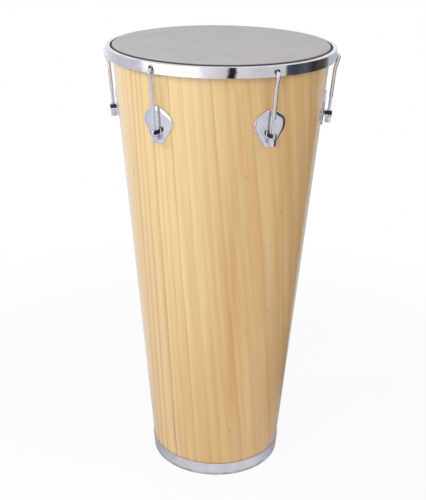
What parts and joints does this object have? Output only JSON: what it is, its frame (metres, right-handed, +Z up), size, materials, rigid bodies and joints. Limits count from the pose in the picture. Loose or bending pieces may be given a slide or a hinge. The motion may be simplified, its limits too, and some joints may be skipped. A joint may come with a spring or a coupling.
{
  "type": "timbal drum",
  "caption": "Tall conical hand drum with a plastic head, a flanged counterhoop drawn down by hooked tension rods at dished lugs, and a metal foot band.",
  "frame": {"origin": "centre of the drum's open foot, on the surface that it stands on", "axes": "+Z up along the drum's axis, from foot to head; -Y is the side that the picture is taken from"},
  "size_m": [0.3862, 0.3736, 0.759],
  "materials": {
    "pine": "clear gloss lacquer over pine veneer",
    "film": "matt grey film, fine grain",
    "chrome": "bright chrome plate",
    "satin": "satin, brushed round the drum",
    "zinc": "dull zinc plate"
  },
  "bodies": {
    "drum": {"shell": "pine", "bottom_band": "satin", "head_film": "film", "lug_1": "chrome", "lug_2": "chrome", "lug_3": "chrome", "lug_4": "chrome", "lug_5": "chrome", "lug_6": "chrome", "stud_washer_1_upper": "zinc", "stud_washer_1_lower": "zinc", "stud_nut_1_upper": "zinc", "stud_nut_1_lower": "zinc", "stud_washer_2_upper": "zinc", "stud_washer_2_lower": "zinc", "stud_nut_2_upper": "zinc", "stud_nut_2_lower": "zinc", "stud_washer_3_upper": "zinc", "stud_washer_3_lower": "zinc", "stud_nut_3_upper": "zinc", "stud_nut_3_lower": "zinc", "stud_washer_4_upper": "zinc", "stud_washer_4_lower": "zinc", "stud_nut_4_upper": "zinc", "stud_nut_4_lower": "zinc", "stud_washer_5_upper": "zinc", "stud_washer_5_lower": "zinc", "stud_nut_5_upper": "zinc", "stud_nut_5_lower": "zinc", "stud_washer_6_upper": "zinc", "stud_washer_6_lower": "zinc", "stud_nut_6_upper": "zinc", "stud_nut_6_lower": "zinc"},
    "hoop": {"counterhoop": "chrome", "flesh_hoop": "satin"},
    "hook_1": {"hook_1": "chrome"},
    "hook_2": {"hook_2": "chrome"},
    "hook_3": {"hook_3": "chrome"},
    "hook_4": {"hook_4": "chrome"},
    "hook_5": {"hook_5": "chrome"},
    "hook_6": {"hook_6": "chrome"},
    "tuning_nut_1": {"tuning_nut_1": "chrome"},
    "tuning_nut_2": {"tuning_nut_2": "chrome"},
    "tuning_nut_3": {"tuning_nut_3": "chrome"},
    "tuning_nut_4": {"tuning_nut_4": "chrome"},
    "tuning_nut_5": {"tuning_nut_5": "chrome"},
    "tuning_nut_6": {"tuning_nut_6": "chrome"}
  },
  "joints": [
    {"name": "hoop_draw", "type": "slide", "parent": "drum", "child": "hoop", "axis": [0, 0, -1], "range_m": [-0.002, 0.006], "deforming": ["head_film"]},
    {"name": "hook_1_draw", "type": "slide", "parent": "drum", "child": "hook_1", "axis": [-0.0367, 0.0742, -0.9966], "range_m": [-0.0021, 0.0061]},
    {"name": "hook_2_draw", "type": "slide", "parent": "drum", "child": "hook_2", "axis": [-0.0826, 0.0053, -0.9966], "range_m": [-0.0021, 0.0061]},
    {"name": "hook_3_draw", "type": "slide", "parent": "drum", "child": "hook_3", "axis": [-0.0459, -0.0689, -0.9966], "range_m": [-0.0021, 0.0061]},
    {"name": "hook_4_draw", "type": "slide", "parent": "drum", "child": "hook_4", "axis": [0.0367, -0.0742, -0.9966], "range_m": [-0.0021, 0.0061]},
    {"name": "hook_5_draw", "type": "slide", "parent": "drum", "child": "hook_5", "axis": [0.0826, -0.0053, -0.9966], "range_m": [-0.0021, 0.0061]},
    {"name": "hook_6_draw", "type": "slide", "parent": "drum", "child": "hook_6", "axis": [0.0459, 0.0689, -0.9966], "range_m": [-0.0021, 0.0061]},
    {"name": "nut_1_turn", "type": "hinge", "parent": "drum", "child": "tuning_nut_1", "pos_m": [0.07929, -0.16043, 0.64345], "axis": [0.0367, -0.0742, 0.9966], "range_deg": [-725, 2170]},
    {"name": "nut_2_turn", "type": "hinge", "parent": "drum", "child": "tuning_nut_2", "pos_m": [0.17858, -0.01155, 0.64345], "axis": [0.0826, -0.0053, 0.9966], "range_deg": [-725, 2170]},
    {"name": "nut_3_turn", "type": "hinge", "parent": "drum", "child": "tuning_nut_3", "pos_m": [0.09929, 0.14888, 0.64345], "axis": [0.0459, 0.0689, 0.9966], "range_deg": [-725, 2170]},
    {"name": "nut_4_turn", "type": "hinge", "parent": "drum", "child": "tuning_nut_4", "pos_m": [-0.07929, 0.16043, 0.64345], "axis": [-0.0367, 0.0742, 0.9966], "range_deg": [-725, 2170]},
    {"name": "nut_5_turn", "type": "hinge", "parent": "drum", "child": "tuning_nut_5", "pos_m": [-0.17858, 0.01155, 0.64345], "axis": [-0.0826, 0.0053, 0.9966], "range_deg": [-725, 2170]},
    {"name": "nut_6_turn", "type": "hinge", "parent": "drum", "child": "tuning_nut_6", "pos_m": [-0.09929, -0.14888, 0.64345], "axis": [-0.0459, -0.0689, 0.9966], "range_deg": [-725, 2170]}
  ],
  "couplings": [
    {"joint": "hook_1_draw", "follows": "hoop_draw", "ratio": 1.0034},
    {"joint": "hook_2_draw", "follows": "hoop_draw", "ratio": 1.0034},
    {"joint": "hook_3_draw", "follows": "hoop_draw", "ratio": 1.0034},
    {"joint": "hook_4_draw", "follows": "hoop_draw", "ratio": 1.0034},
    {"joint": "hook_5_draw", "follows": "hoop_draw", "ratio": 1.0034},
    {"joint": "hook_6_draw", "follows": "hoop_draw", "ratio": 1.0034},
    {"joint": "nut_1_turn", "follows": "hoop_draw", "rad_per_m": 6304.8},
    {"joint": "nut_2_turn", "follows": "hoop_draw", "rad_per_m": 6304.8},
    {"joint": "nut_3_turn", "follows": "hoop_draw", "rad_per_m": 6304.8},
    {"joint": "nut_4_turn", "follows": "hoop_draw", "rad_per_m": 6304.8},
    {"joint": "nut_5_turn", "follows": "hoop_draw", "rad_per_m": 6304.8},
    {"joint": "nut_6_turn", "follows": "hoop_draw", "rad_per_m": 6304.8}
  ]
}
